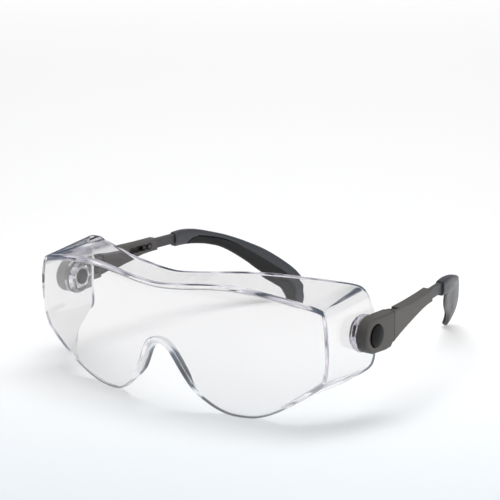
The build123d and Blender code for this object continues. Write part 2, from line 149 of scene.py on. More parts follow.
class NodeBuilder:
    """Builds one node tree, node by node."""

    def __init__(self, tree: bpy.types.NodeTree) -> None:
        """Keeps the tree that is filled, and empties it."""
        self.tree = tree
        tree.nodes.clear()

    def add(self, kind: str, settings: Optional[dict] = None, inputs: Optional[dict] = None,
            output: Any = 0) -> Optional[Socket]:
        """Adds a node.

        Args:
            kind: Blender's type name of the node.
            settings: Attributes, set first; "stops" fills a colour ramp.
            inputs: Values, or sockets, by input name or number.
            output: Name or number of the output that is returned.

        Returns:
            The chosen output, or None where the node has no outputs.
        """
        node = self.tree.nodes.new(kind)
        for name, value in (settings or {}).items():
            if name == "stops":
                self._fill_ramp(node.color_ramp, value)
            else:
                setattr(node, name, value)
        for key, value in (inputs or {}).items():
            if isinstance(value, Socket):
                self.tree.links.new(value.output, node.inputs[key])
            else:
                node.inputs[key].default_value = value
        return Socket(self, node.outputs[output]) if len(node.outputs) else None

    @staticmethod
    def _fill_ramp(ramp: bpy.types.ColorRamp, stops: Sequence[tuple]) -> None:
        """Sets a ramp's stops.

        Args:
            ramp: The ramp.
            stops: Pairs of position and colour.
        """
        while len(ramp.elements) < len(stops):
            ramp.elements.new(1.0)
        for element, (position, colour) in zip(ramp.elements, stops):
            element.position = position
            element.color = opaque(colour)

    def object_place(self, stretch: Triple = (1, 1, 1), turn: float = 0.0) -> Socket:
        """The surface's place in the object's own metres, stretched and turned about Z."""
        inputs = {"Vector": self.add("ShaderNodeTexCoord", output="Object"), "Rotation": (0, 0, turn)}
        return self.add("ShaderNodeMapping", inputs=inputs | {"Scale": stretch})

    def noise(self, per_metre: float, detail: float = 2.0, stretch: Triple = (1, 1, 1)) -> Socket:
        """Noise about 0.5 on the object's own place, by features in a metre and octaves."""
        inputs = {"Vector": self.object_place(stretch), "Scale": per_metre, "Detail": detail}
        return self.add("ShaderNodeTexNoise", inputs=inputs, output="Fac")

    def axis(self, vector: Socket, letter: str) -> Socket:
        """One axis of a vector."""
        return self.add("ShaderNodeSeparateXYZ", inputs={0: vector}, output=letter)

    def fade(self, value: Socket, low: float, high: float, easing: Easing = Easing.STRAIGHT) -> Socket:
        """Rises from zero to one as a value goes from its low to its high level."""
        return self.add("ShaderNodeMapRange", {"interpolation_type": easing.value},
                        {"Value": value, "From Min": low, "From Max": high})

    def ray(self, fact: str) -> Socket:
        """A fact of the light's path, such as Is Camera Ray."""
        return self.add("ShaderNodeLightPath", output=fact)

    def ramp(self, stops: Sequence[tuple], value: Socket) -> Socket:
        """A colour by a value, from pairs of position and colour."""
        return self.add("ShaderNodeValToRGB", {"stops": stops}, {0: value})

    def blend_colours(self, share: Any, first: Any, second: Any) -> Socket:
        """Mixes two colours, by the share of the second."""
        return self.add("ShaderNodeMix", {"data_type": "RGBA"}, {0: share, 6: first, 7: second}, output=2)

    def blend_shaders(self, share: Any, first: Socket, second: Socket) -> Socket:
        """Mixes two shaders, by the share of the second."""
        return self.add("ShaderNodeMixShader", inputs={0: share, 1: first, 2: second})

    def own_tone(self, colour: Socket) -> Socket:
        """A black surface that gives off a colour, whatever light falls on it."""
        inputs = {"Base Color": BLACK, "Roughness": 1.0, "Specular IOR Level": 0.0, "Emission Strength": 1.0}
        return self.add("ShaderNodeBsdfPrincipled", inputs=inputs | {"Emission Color": colour})


def opaque(colour: Triple, factor: float = 1.0) -> tuple[float, ...]:
    """A linear colour times a factor, with full alpha."""
    return tuple(channel * factor for channel in colour) + (1.0,)


BLACK = opaque((0.0, 0.0, 0.0))


@dataclass(frozen=True)
class Finish:
    """A surface finish, whose kinds each have a shader of their own.

    Attributes:
        name: Name of the material.
    """

    name: str

    def shader(self, nodes: NodeBuilder) -> Socket:
        """The shader, built with the material's nodes."""
        raise NotImplementedError

    def material(self) -> bpy.types.Material:
        """Builds the material round the shader.

        Returns:
            The material.
        """
        material = bpy.data.materials.new(self.name)
        material.use_nodes = True
        nodes = NodeBuilder(material.node_tree)
        nodes.add("ShaderNodeOutputMaterial", inputs={"Surface": self.shader(nodes)})
        return material


@dataclass(frozen=True)
class MouldedPlastic(Finish):
    """Satin injection-moulded plastic with a fine spark-eroded grain.

    Attributes:
        colour: Linear base colour.
        roughness: Mean roughness.
        gloss: Level of the mirror-like part of the light.
        grain: Height of the surface grain in metres.
        variation: Share by which the colour drifts over the surface.
    """

    colour: Triple
    roughness: float
    gloss: float = 0.5
    grain: float = 0.00002
    variation: float = 0.10

    def shader(self, nodes: NodeBuilder) -> Socket:
        """The shader of the plastic.

        Args:
            nodes: Builder of the material's tree.

        Returns:
            A shader socket.
        """
        cloud = nodes.noise(90.0, detail=3.0)
        speck = nodes.noise(2600.0)
        dark, light = opaque(self.colour, 1 - self.variation), opaque(self.colour, 1 + self.variation)
        bump = nodes.add("ShaderNodeBump", output="Normal", inputs={
            "Strength": 0.35, "Distance": self.grain, "Height": speck})
        return nodes.add("ShaderNodeBsdfPrincipled", inputs={
            "Base Color": nodes.blend_colours(cloud * 0.7 + speck * 0.3, dark, light),
            "Roughness": cloud * 0.10 + speck * 0.06 + (self.roughness - 0.08),
            "IOR": 1.5, "Specular IOR Level": self.gloss, "Normal": bump})


@dataclass(frozen=True)
class ClearMoulding(Finish):
    """Clear polycarbonate that refracts, with a hard coat and a faint lavender body.

    Attributes:
        name: Name of the material.
        tint: Linear colour of a pass through the surface.
        refraction: Index of refraction.
        polish: Largest roughness of the coat.
        shadow_pass: Share of lamp light that a surface lets through.
        fill_pass: Share of fill light that a surface lets through.
        calm: Share of the mirror image that the top of the brow ledge loses to its matt grain.
        ledge_rise: Upward part of a surface's direction where that grain starts and is full.
        lost: Mirrorings and passes after which light counts as trapped in the wall, and a painted glow takes
            its place.
        trapped: Painted glow tones, dark and light, that stand in for reflections of light trapped in the
            wall, by noise level.
        lip: Painted shade and painted reflection tones inside the nose flange, from its foot up.
        lip_span: Heights of their start and end in millimetres, and how far they cover the body.
        brow: Painted reflection tones, mostly dark, inside the outer ends of the brow ledge.
        brow_span: Heights of their start and end in millimetres, and how far they cover the body.
        waver: Height in millimetres by which the painted tones' borders waver.
    """

    name: str = "clear_polycarbonate"
    tint: Triple = (0.888, 0.885, 0.887)
    refraction: float = 1.585
    polish: float = 0.015
    shadow_pass: float = 0.62
    fill_pass: float = 0.92
    calm: float = 0.9
    ledge_rise: Pair = (0.4, 0.75)
    lost: Pair = (2.5, 9.5)
    trapped: tuple = ((0.36, (0.08, 0.09, 0.12)), (0.43, (0.46, 0.44, 0.50)), (0.56, (0.68, 0.66, 0.73)),
                      (0.66, (0.98, 0.98, 1.0)))
    lip: tuple = ((0.18, (0.16, 0.16, 0.17)), (0.24, (0.90, 0.92, 0.95)), (0.29, (0.80, 0.84, 0.88)),
                  (0.35, (0.13, 0.16, 0.21)), (0.53, (0.07, 0.07, 0.08)), (0.70, (0.10, 0.11, 0.13)),
                  (0.81, (0.13, 0.16, 0.22)), (0.88, (0.75, 0.78, 0.83)), (0.98, (0.92, 0.92, 0.93)))
    lip_span: Triple = (2.0, 29.0, 1.5)
    brow: tuple = ((0.0, (0.60, 0.62, 0.66)), (0.2, (0.10, 0.12, 0.16)), (1.0, (0.07, 0.09, 0.13)))
    brow_span: Triple = (46.0, 56.0, 0.9)
    waver: float = 3.0

    def shader(self, nodes: NodeBuilder) -> Socket:
        """The shader of the clear plastic, with its shadows, its painted glow, and the painted shade and
        painted reflections inside its folds.

        Args:
            nodes: Builder of the material's tree.

        Returns:
            A shader socket.
        """
        cloud = nodes.noise(40.0)
        colour = nodes.blend_colours(cloud, opaque(self.tint, 0.99), opaque(self.tint))
        glass = nodes.add("ShaderNodeBsdfPrincipled", inputs={
            "Base Color": colour, "Roughness": cloud * self.polish, "IOR": self.refraction,
            "Transmission Weight": 1.0})
        matt = nodes.add("ShaderNodeBsdfRefraction", inputs={
            "Color": opaque(self.tint), "Roughness": self.polish / 2, "IOR": self.refraction})
        inside = nodes.add("ShaderNodeNewGeometry", output="Backfacing")
        rise = nodes.axis(nodes.add("ShaderNodeNewGeometry", output="Normal"), "Z")
        ledge = nodes.fade(rise, *self.ledge_rise) * (1.0 - inside)
        shader = nodes.blend_shaders(ledge * self.calm, glass, matt)
        for fact, share in (("Is Diffuse Ray", self.fill_pass), ("Is Shadow Ray", self.shadow_pass)):
            veil = nodes.add("ShaderNodeBsdfTransparent", inputs={"Color": opaque((share,) * 3)})
            shader = nodes.blend_shaders(nodes.ray(fact), shader, veil)
        # Painted glow: past these depths the wall gives off painted reflection tones instead of carrying the
        # light on.
        turns = nodes.ray("Glossy Depth")
        lost = turns.above(self.lost[0]).at_least(nodes.ray("Ray Depth").above(self.lost[1]))
        trapped = nodes.ramp(self.trapped, nodes.noise(130.0, detail=1.0, stretch=(0.6, 1, 1)))
        shader = nodes.blend_shaders(lost, shader, nodes.own_tone(trapped))
        direct = 1.0 - turns.at_most(1.0)
        height = nodes.axis(nodes.object_place(), "Z") * (1 / MM)
        height = height + nodes.noise(500.0, stretch=(1, 1, 0.3)) * self.waver - self.waver / 2
        # Painted shade and painted reflections inside the nose flange and the outer ends of the brow ledge, by
        # vertex shares.
        for where, (low, high, cover), stops, seen in (("painted_nose_lip", self.lip_span, self.lip, inside * direct),
                                                       ("painted_brow_end", self.brow_span, self.brow, inside)):
            painted_tone = nodes.own_tone(nodes.ramp(stops, nodes.fade(height, low, high)))
            share = nodes.add("ShaderNodeAttribute", {"attribute_name": where}, output="Fac") * (seen * cover)
            shader = nodes.blend_shaders(share, shader, painted_tone)
        return shader


@dataclass(frozen=True)
class SteelWire(Finish):
    """Drawn steel with fine lines along its length.

    Attributes:
        name: Name of the material.
        colour: Linear base colour.
    """

    name: str = "pin_wire"
    colour: Triple = (0.55, 0.55, 0.56)

    def shader(self, nodes: NodeBuilder) -> Socket:
        """The shader of the steel.

        Args:
            nodes: Builder of the material's tree.

        Returns:
            A shader socket.
        """
        lines = nodes.noise(3000.0, stretch=(1, 1, 0.05))
        colour = nodes.blend_colours(lines, opaque(self.colour, 0.8), opaque(self.colour))
        return nodes.add("ShaderNodeBsdfPrincipled", inputs={
            "Base Color": colour, "Metallic": 1.0, "Roughness": lines * 0.2 + 0.2})


@dataclass(frozen=True)
class PaleTable(Finish):
    """A matt table that fades from pale blue-grey in front to white at the back.

    Attributes:
        name: Name of the material.
        turn: Angle of the view about Z, along which it fades, in radians.
        near: Its colour in front.
        beyond: Light that the clear plastic sees far behind the part.
        outskirts: Light that it sees far out on all sides.
        own_light: Share of the table that shows at its own brightness, shadow or not.
    """

    name: str = "table_surface"
    turn: float = 0.0
    near: Triple = (0.84, 0.885, 0.915)
    beyond: Triple = (2.0, 2.0, 2.0)
    outskirts: Triple = (0.10, 0.11, 0.13)
    own_light: float = 0.35

    def shader(self, nodes: NodeBuilder) -> Socket:
        """The shader of the table.

        Args:
            nodes: Builder of the material's tree.

        Returns:
            A shader socket.
        """
        depth = nodes.axis(nodes.object_place(turn=-self.turn), "Y")
        place = nodes.add("ShaderNodeTexCoord", output="Object")
        radius = nodes.add("ShaderNodeVectorMath", {"operation": "LENGTH"}, {0: place}, output="Value")
        outer = nodes.fade(radius, 0.42, 0.75)
        back = nodes.fade(depth, -0.20, 0.06, Easing.SOFT)
        colour = nodes.blend_colours(back, opaque(self.near), opaque((1.0, 1.0, 1.0)))
        lit = nodes.blend_colours(nodes.fade(depth, 0.25, 1.25), colour, opaque(self.beyond))
        camera = nodes.ray("Is Camera Ray")
        lit = nodes.blend_colours(outer * (1.0 - camera), lit, opaque(self.outskirts))
        glow = nodes.add("ShaderNodeEmission", inputs={"Color": lit, "Strength": 1.0})
        cloth = nodes.add("ShaderNodeBsdfDiffuse", inputs={"Color": colour})
        seen = camera.at_least(nodes.ray("Is Glossy Ray")).at_least(nodes.ray("Is Transmission Ray"))
        share = (seen * self.own_light).at_least(outer * seen * (1.0 - camera))
        return nodes.blend_shaders(share, cloth, glow)


class Finishes:
    """All materials of the part, made once and shared."""

    def __init__(self) -> None:
        """Builds every material."""
        self.clear = ClearMoulding().material()
        self.temple = MouldedPlastic("temple_nylon", (0.068, 0.062, 0.057), 0.46).material()
        self.button = MouldedPlastic("button_nylon", (0.006, 0.006, 0.0065), 0.5, 0.15).material()
        self.washer = MouldedPlastic("washer_acetal", (0.20, 0.20, 0.20), 0.40).material()
        self.slider = MouldedPlastic("slider_nylon", (0.046, 0.047, 0.050), 0.42).material()
        self.slate = MouldedPlastic("slate_nylon", (0.024, 0.027, 0.032), 0.38, 0.75).material()
        self.pad = MouldedPlastic("soft_pad", (0.008, 0.008, 0.0085), 0.7, grain=0.00003).material()
        self.steel = SteelWire().material()

    def dress_nodes(self) -> None:
        """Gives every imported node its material."""
        by_piece = {"hex_insert": self.clear, "detent_washer": self.washer, "pivot_stud": self.button,
                    "temple_head": self.temple, "hinge_pin": self.steel, "temple_arm": self.temple,
                    "length_slider": self.slider, "slider_catch": self.slider,
                    "temple_end": self.slate, "end_pad": self.pad}
        for side in Side:
            for piece, material in by_piece.items():
                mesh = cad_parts[f"{side.label}_{piece}"].data
                mesh.materials.clear()
                mesh.materials.append(material)
                LOG.info("%s_%s: %s", side.label, piece, material.name)


def as_object(bm: Mesh, name: str) -> bpy.types.Object:
    """Turns a bmesh into an object of the scene.

    Args:
        bm: The shape, which is freed.
        name: Name of the object and its mesh.

    Returns:
        The object.
    """
    mesh = bpy.data.meshes.new(name)
    bm.to_mesh(mesh)
    bm.free()
    piece = bpy.data.objects.new(name, mesh)
    bpy.context.scene.collection.objects.link(piece)
    return piece


def round_edges(bm: Mesh, edges: list, radius: float, steps: int, clamp: bool = False) -> None:
    """Rounds edges of a bmesh, with clamp where the rounding may not run into its neighbours."""
    bmesh.ops.bevel(bm, geom=edges, offset=radius, offset_type="OFFSET", affect="EDGES", segments=steps,
                    profile=0.5, material=-1, clamp_overlap=clamp)


def mirror_across(bm: Mesh, merge: float) -> None:
    """Adds the mirror image on the other side of the face, merged within a distance."""
    bmesh.ops.mirror(bm, geom=[*bm.verts, *bm.edges, *bm.faces], axis="X", merge_dist=merge)


@dataclass(frozen=True)
class Layout:
    """Brings a piece from the part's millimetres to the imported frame.

    Attributes:
        front_y: Y of the lens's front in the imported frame, in metres.
    """

    front_y: float

    def finish(self, bm: Mesh, name: str, material: bpy.types.Material, body: str,
               crease: float = 32.0) -> bpy.types.Object:
        """Turns a bmesh in millimetres into a finished piece.

        Args:
            bm: The shape, which is freed.
            name: Name of the piece.
            material: Its material.
            body: The body that it rides on.
            crease: Angle in degrees above which an edge stays sharp.

        Returns:
            The piece.
        """
        bmesh.ops.scale(bm, vec=(MM, MM, MM), verts=bm.verts)
        bmesh.ops.translate(bm, vec=(0, self.front_y, 0), verts=bm.verts)
        piece = as_object(bm, name)
        mesh = piece.data
        mesh.shade_smooth()
        mesh.set_sharp_from_angle(angle=math.radians(crease))
        mesh.materials.append(material)
        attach(piece, body)
        LOG.info("%s: %d faces", piece.name, len(mesh.polygons))
        return piece


@dataclass(frozen=True)
class Station:
    """A listed point of the lens outline with its place on the rear rim.

    Attributes:
        front: X and Z on the curved front.
        steps: Mesh steps from this station to the next.
        rear: X, Y and Z on the rear rim, or None where the wall just ends.
    """

    front: Pair
    steps: int
    rear: Optional[Triple] = None


def stations(*rows: tuple[float, ...]) -> tuple[Station, ...]:
    """Stations from rows of front X and Z, steps and, where there is one, the place on the rear rim."""
    return tuple(Station((x, z), steps, tuple(rear) or None) for x, z, steps, *rear in rows)


def total_steps(some: Sequence[Station]) -> int:
    """Mesh steps that some stations take together."""
    return sum(station.steps for station in some)


def clamped(value: float) -> float:
    """The value, kept from zero to one."""
    return min(1.0, max(0.0, value))


def smooth(value: float) -> float:
    """Soft step from zero to one as the value goes from zero to one."""
    value = clamped(value)
    return value * value * (3 - 2 * value)


def smooth_path(points: Points, steps: Sequence[int]) -> list[Vector]:
    """Smooth curve through points, square to the middle plane at both ends.

    Args:
        points: Front X and Z and rear X, Y and Z that the curve passes.
        steps: Steps of each stretch.

    Returns:
        The sampled points, both ends included.
    """
    gaps = [(b - a).length for a, b in zip(points, points[1:])]
    slopes = [(b - a) / gap for a, b, gap in zip(points, points[1:], gaps)]
    tangents = [slopes[0]]
    for before, after, gap_before, gap_after in zip(slopes, slopes[1:], gaps, gaps[1:]):
        tangents.append((after * gap_before + before * gap_after) / (gap_before + gap_after))
    tangents.append(slopes[-1])
    for tangent in (tangents[0], tangents[-1]):
        tangent[1] = tangent[3] = tangent[4] = 0.0
    path = []
    for index, count in enumerate(steps):
        start, end, gap = points[index], points[index + 1], gaps[index]
        for step in range(count):
            t = step / count
            path.append(start * (2 * t**3 - 3 * t**2 + 1) + tangents[index] * gap * (t**3 - 2 * t**2 + t)
                        + end * (3 * t**2 - 2 * t**3) + tangents[index + 1] * gap * (t**3 - t**2))
    path.append(points[-1])
    return path


@dataclass
class LensShield:
    """The one-piece clear lens with brow ledge, side shields, nose flange and bosses.

    Attributes:
        radius_across: Radius of the front across the face.
        radius_upright: Its radius upright.
        apex_z: Height of its foremost point.
        wall: Wall thickness.
        ledge_gain: How much thicker the brow ledge is at its rear rim.
        ledge_steps: Mesh steps over which that runs out before the ledge's corner.
        fold_radius: Rounding of the outer front edge.
        rim_radius: Rounding of the rims.
        inner_radius: Rounding of the inner fold.
        rounding_steps: Mesh steps of a rounding.
        rings: Width of the front's border rings, outside and inside.
        row_gaps: Distance of the nearest rows from the rounding, a rim and the inner fold, by radius.
        most: Most of a wall that its rounding takes up, and of a stretch that a row's distance does.
        rim_tones: Shares of the painted shade and reflection tones inside the lower rim and the rear rim.
        brow_reach: Mesh steps that carry painted dark reflection tones inside, before and after the ledge's
            corner.
        flange_lean: How far the nose flange leans into the opening.
        flange_radius: Rounding of its outer front edge.
        flange_start: Station of the low edge at which it starts.
        flange_steps: Mesh steps over which it comes up.
        flange_reaches: How far it reaches back at each station from there on.
        pivot: Y and Z of the temple pivot.
        boss_radii: Radius of the boss outside, inside at the wall and inside at its face.
        boss_ends: X of the inside boss's face, of the outside boss's foot and of its face.
        boss_overlap: Length that both bosses have in common.
        boss_roundings: Rounding of the outside and of the inside boss.
        pocket_across_flats: Width of the hexagonal pocket.
        pocket_depth: Its depth.
        bore_radius: Radius of the stud's hole.
        sides: Mesh steps round a boss and round the hole.
        spare: How far a cut starts outside the plastic.
        top: Stations of the brow ledge, from the middle out.
        side: Stations of the side shield, downwards.
        low: Stations of the lower rim and the nose flange, back to the middle.
    """

    radius_across: float = 175.0
    radius_upright: float = 96.0
    apex_z: float = 40.0
    wall: float = 2.2
    ledge_gain: float = 0.45
    ledge_steps: int = 8
    fold_radius: float = 0.75
    rim_radius: float = 0.6
    inner_radius: float = 0.4
    rounding_steps: int = 4
    rings: Pair = (0.55, 0.6)
    row_gaps: Triple = (0.15, 1.2, 1.3)
    most: Pair = (0.6, 0.45)
    rim_tones: Pair = (0.6, 0.7)
    brow_reach: tuple[int, int] = (9, 5)
    flange_lean: float = 1.3
    flange_radius: float = 2.0
    flange_start: int = 13
    flange_steps: int = 4
    flange_reaches: tuple[float, ...] = (2.2, 3.4, 4.8, 5.0, 4.9, 4.8, 4.7)
    pivot: Pair = (39.4, 35.1)
    boss_radii: Triple = (7.6, 8.4, 6.3)
    boss_ends: Triple = (68.4, 71.0, 73.4)
    boss_overlap: float = 0.6
    boss_roundings: Pair = (0.3, 0.7)
    pocket_across_flats: float = 9.0
    pocket_depth: float = 1.6
    bore_radius: float = 2.45
    sides: tuple[int, int] = (72, 36)
    spare: float = 2.0
    top: tuple[Station, ...] = stations(
        (0.0, 53.0, 9, 0.0, 14.5, 55.0), (12.0, 53.9, 9, 12.3, 14.4, 56.3),
        (22.5, 55.2, 7, 21.5, 14.8, 57.7), (31.0, 55.8, 7, 29.0, 17.6, 58.3),
        (39.5, 55.5, 9, 37.5, 22.0, 58.2), (50.0, 54.2, 8, 50.0, 31.5, 56.3),
        (58.5, 52.6, 5, 57.5, 39.0, 54.4), (64.5, 51.1, 3, 63.5, 43.6, 53.1),
        (67.6, 50.1, 2, 67.3, 44.4, 52.6), (68.9, 49.45, 2, 68.9, 44.5, 52.1))
    side: tuple[Station, ...] = stations(
        (69.75, 48.55, 2, 70.3, 44.8, 50.9), (70.3, 47.4, 2, 71.1, 45.5, 49.0),
        (70.6, 46.0, 3, 71.5, 46.4, 46.8), (71.1, 42.6, 4, 72.0, 48.0, 43.3),
        (71.5, 37.0, 6, 72.5, 49.0, 38.0), (71.5, 30.0, 5, 72.7, 49.0, 30.0),
        (71.1, 25.6, 3, 72.6, 49.0, 25.0), (70.4, 22.2, 2, 72.3, 48.7, 21.8),
        (69.9, 20.5, 2, 71.9, 48.0, 19.8))
    low: tuple[Station, ...] = stations(
        (69.3, 19.1, 2, 71.2, 46.5, 18.3), (68.3, 17.9, 2, 70.3, 44.0, 17.3),
        (66.8, 16.7, 3, 68.9, 40.8, 16.4), (63.5, 14.2, 4, 66.0, 34.0, 14.4),
        (59.5, 11.3, 5, 61.6, 26.5, 12.2), (55.0, 8.2, 4, 56.0, 19.6, 8.7),
        (50.5, 5.4, 5), (45.0, 2.5, 5), (39.0, 0.5, 4), (33.5, 0.0, 4), (27.5, 0.5, 4), (22.0, 2.9, 3),
        (18.0, 5.9, 2), (15.3, 8.2, 2), (12.9, 11.2, 3), (9.6, 16.9, 3), (7.3, 21.4, 2), (5.0, 25.2, 2),
        (2.7, 27.2, 2), (0.0, 27.8, 0))

    def depth(self, x: float, z: float, inset: float = 0.0) -> float:
        """Y of the curved front at X and Z, or of a parallel surface some distance behind it."""
        upright = math.sqrt((self.radius_upright - inset) ** 2 - (z - self.apex_z) ** 2)
        return self.radius_across - math.sqrt((self.radius_across - self.radius_upright + upright) ** 2 - x**2)

    def on_front(self, place: Vector, inset: float = 0.0) -> Vector:
        """The point of the curved front, or of a surface parallel to it, at X and Z."""
        return Vector((place.x, self.depth(place.x, place.y, inset), place.y))

    def outline(self) -> tuple[list[Vector], list[Vector], tuple[int, int]]:
        """Samples the outline and the rear rim together.

        Returns:
            The front points as X and Z, the rear points, and the numbers of the two corners.
        """
        outline = self.top + self.side + self.low
        flange = len(self.top) + len(self.side) + self.flange_start
        points = []
        for index, station in enumerate(outline):
            x, z = station.front
            reach = self.flange_reaches[max(0, index - flange)]
            points.append(Vector((x, z, *(station.rear or (x, self.depth(x, z) + reach, z)))))
        path = smooth_path(points, [station.steps for station in outline[:-1]])
        first = total_steps(self.top)
        return [p.xy for p in path], [Vector(p[2:]) for p in path], (first, first + total_steps(self.side))

    @staticmethod
    def inward(points: Points) -> list[Vector]:
        """Unit directions into the lens, square to its outline, which runs clockwise from the front."""
        along = [(after - before).normalized() for before, after in zip(points, points[2:])]
        return [Vector((0, -1)), *(Vector((step.y, -step.x)) for step in along), Vector((0, 1))]

    def add_grid(self, bm: Mesh, loop: Points, corners: tuple[int, int],
                 inset: float) -> list[bmesh.types.BMVert]:
        """Adds a grid on the curved front, whose edge is the given outline.

        Args:
            bm: The mesh, with a layer for each edge vertex's place in the loop.
            loop: Outline from the top centre round to the crown of the nose arch.
            corners: Numbers of the two corner points.
            inset: Distance behind the outer surface.

        Returns:
            The new vertices.
        """
        order = bm.verts.layers.int["order"]
        first, second = corners
        top, side, low = loop[: first + 1], loop[first : second + 1], loop[second:][::-1]
        across, upright = len(top) - 1, len(side) - 1
        made = bmesh.ops.create_grid(bm, x_segments=across, y_segments=upright, size=1.0)["verts"]
        for vert in made:
            column = round((vert.co.x + 1) / 2 * across)
            row = round((vert.co.y + 1) / 2 * upright)
            u, v = column / across, row / upright
            middle, edge = low[0].lerp(top[0], v), side[upright - row]
            place = (low[column] * (1 - v) + top[column] * v + middle * (1 - u) + edge * u
                     - (low[0] * (1 - v) + top[0] * v) * (1 - u) - (low[-1] * (1 - v) + top[-1] * v) * u)
            vert.co = self.on_front(place, inset)
            vert[order] = -1
            if row == upright:
                vert[order] = column
            elif column == across:
                vert[order] = first + upright - row
            elif row == 0:
                vert[order] = len(loop) - 1 - column
        return made

    def half_shell(self) -> Mesh:
        """The wearer's left half of the lens, open at the middle.

        Returns:
            The half as a bmesh.
        """
        fronts, rears, corners = self.outline()
        rear_inward = self.inward([p.xz for p in rears])
        flange = corners[1] + total_steps(self.low[: self.flange_start])
        painted_flange_start = flange + self.flange_steps // 2
        outer_ring, fold, rim, rim_inner, inner_fold, inner_ring, radii, tones = ([] for _ in range(8))
        for index, (front, rear, n, m) in enumerate(zip(fronts, rears, self.inward(fronts), rear_inward)):
            corner = self.on_front(front)
            share = clamped((rear.y - corner.y - self.wall) / (2 * self.wall))
            rise = clamped((index - flange) / self.flange_steps)
            radius = self.fold_radius + (self.flange_radius - self.fold_radius) * rise
            lean = self.flange_lean * rise
            width = self.wall * (0.5 + 0.5 * max(share, rise)) + lean
            if index < corners[0]:
                width += self.ledge_gain * min(1.0, (corners[0] - index) / self.ledge_steps)
            back = rear - Vector((m.x, 0, m.y)) * lean
            radii.append(radius)
            outer_ring.append(front + n * (radius + self.rings[0]))
            fold.append(corner)
            rim.append(back)
            rim_inner.append(back + Vector((m.x, 0, m.y)) * width)
            inner_fold.append(self.on_front(front + n * self.wall, self.wall))
            inner_ring.append(front + n * (self.wall + self.rings[1]))
            # Shares of the painted tones: full inside the nose flange, painted shade fading along the lower
            # rim.
            low_rim_painted_shade = self.rim_tones[0] * (1 - share) if index > corners[1] else 0.0
            tones.append(1.0 if index > painted_flange_start else low_rim_painted_shade)
        rounding = self.rounded(fold, self.inward(fronts), rim, radii)
        at_rounding, at_rim, at_fold = self.row_gaps
        outside = self.between(rounding[-1], rim, [at_rounding * r for r in radii], at_rim * self.rim_radius)
        inside = self.between(rim_inner, inner_fold, [at_rim * self.rim_radius] * len(fold),
                              at_fold * self.inner_radius)
        shell = bmesh.new()
        layers = shell.verts.layers
        for group, name in ((layers.int, "order"), (layers.int, "ridge"), (layers.float, "painted_nose_lip"),
                            (layers.float, "painted_brow_end")):
            group.new(name)
        order, lip, brow = layers.int["order"], layers.float["painted_nose_lip"], layers.float["painted_brow_end"]
        self.add_grid(shell, outer_ring, corners, 0.0)
        loops = [(Ridge.NONE, row, number > 1) for number, row in enumerate(rounding + outside)]
        loops += [(Ridge.RIM, rim, True), (Ridge.RIM_INSIDE, rim_inner, False)]
        loops += [(Ridge.NONE, row, False) for row in inside] + [(Ridge.FOLD_INSIDE, inner_fold, False)]
        # Vertex shares of the painted tones go on the walls, the rims and the brow ledge's ends.
        for kind, loop, is_wall in loops:
            for vert in self.extrude_edge(shell, loop, kind):
                place = vert[order]
                vert[lip] = tones[place] if is_wall else 0.0
                if kind in (Ridge.RIM, Ridge.RIM_INSIDE) and place > corners[0]:
                    vert[lip] = max(vert[lip], self.rim_tones[1] / (2 if place > painted_flange_start else 1))
                # Painted dark reflection tones inside the brow ledge's walls near its corner.
                near_corner = -self.brow_reach[0] < place - corners[0] < self.brow_reach[1]
                vert[brow] = float(is_wall and near_corner)
        back = self.add_grid(shell, inner_ring, corners, self.wall)
        for face in {face for vert in back for face in vert.link_faces}:
            face.normal_flip()
        border = [e for e in shell.edges if e.is_boundary and all(v[order] >= 0 for v in e.verts)]
        bmesh.ops.bridge_loops(shell, edges=border)
        return shell

    def rounded(self, fold: Points, inward: Points, rim: Points, radii: Sequence[float]) -> list[list[Vector]]:
        """Rows of the rounding between the curved front and the walls that run back from it.

        Args:
            fold: The sharp corner.
            inward: Directions into the lens, square to the outline.
            rim: The rear rim that the walls run to.
            radii: Radius at each point.

        Returns:
            The rows, the last of them on the wall.
        """
        rows: list[list[Vector]] = [[] for _ in range(self.rounding_steps + 1)]
        for corner, n, end, radius in zip(fold, inward, rim, radii):
            start = self.on_front(corner.xz + n * radius)
            end = corner.lerp(end, min(radius / (end - corner).length, self.most[0]))
            weight = math.sin((start - corner).angle(end - corner) / 2)
            for step, row in enumerate(rows):
                t = step / self.rounding_steps
                shares = (1 - t) ** 2, 2 * t * (1 - t) * weight, t**2
                row.append((start * shares[0] + corner * shares[1] + end * shares[2]) / sum(shares))
        return rows

    def between(self, start: Points, end: Points, first: Sequence[float], last: float) -> list[list[Vector]]:
        """Rows between two loops, the outer ones close to the loops so that shading stays flat.

        Args:
            start: First loop.
            end: Last loop.
            first: Distance of the first row from the first loop, at each point.
            last: Distance of the last row from the last loop.

        Returns:
            Four rows.
        """
        rows: list[list[Vector]] = [[] for _ in range(4)]
        for a, b, gap in zip(start, end, first):
            length = max((b - a).length, 0.001)
            near, far = min(gap / length, self.most[1]), 1 - min(last / length, self.most[1])
            for row, share in zip(rows, (near, near + (far - near) / 3, far - (far - near) / 3, far)):
                row.append(a.lerp(b, share))
        return rows

    @staticmethod
    def extrude_edge(shell: Mesh, loop: Points, kind: Ridge) -> list[bmesh.types.BMVert]:
        """Extrudes the outline's edge to a new loop.

        Args:
            shell: The mesh so far.
            loop: Where the new vertices go.
            kind: Ridge that the new vertices are marked with.

        Returns:
            The new vertices.
        """
        order, ridge = (shell.verts.layers.int[name] for name in ("order", "ridge"))
        edges = [e for e in shell.edges if e.is_boundary and all(v[order] >= 0 for v in e.verts)
                 and abs(e.verts[0][order] - e.verts[1][order]) == 1]
        old = {v for e in edges for v in e.verts}
        made = bmesh.ops.extrude_edge_only(shell, edges=edges)["geom"]
        verts = [v for v in made if isinstance(v, bmesh.types.BMVert)]
        for vert in verts:
            vert.co = loop[vert[order]]
            vert[ridge] = kind
        for vert in old:
            vert[order] = -1
        return verts

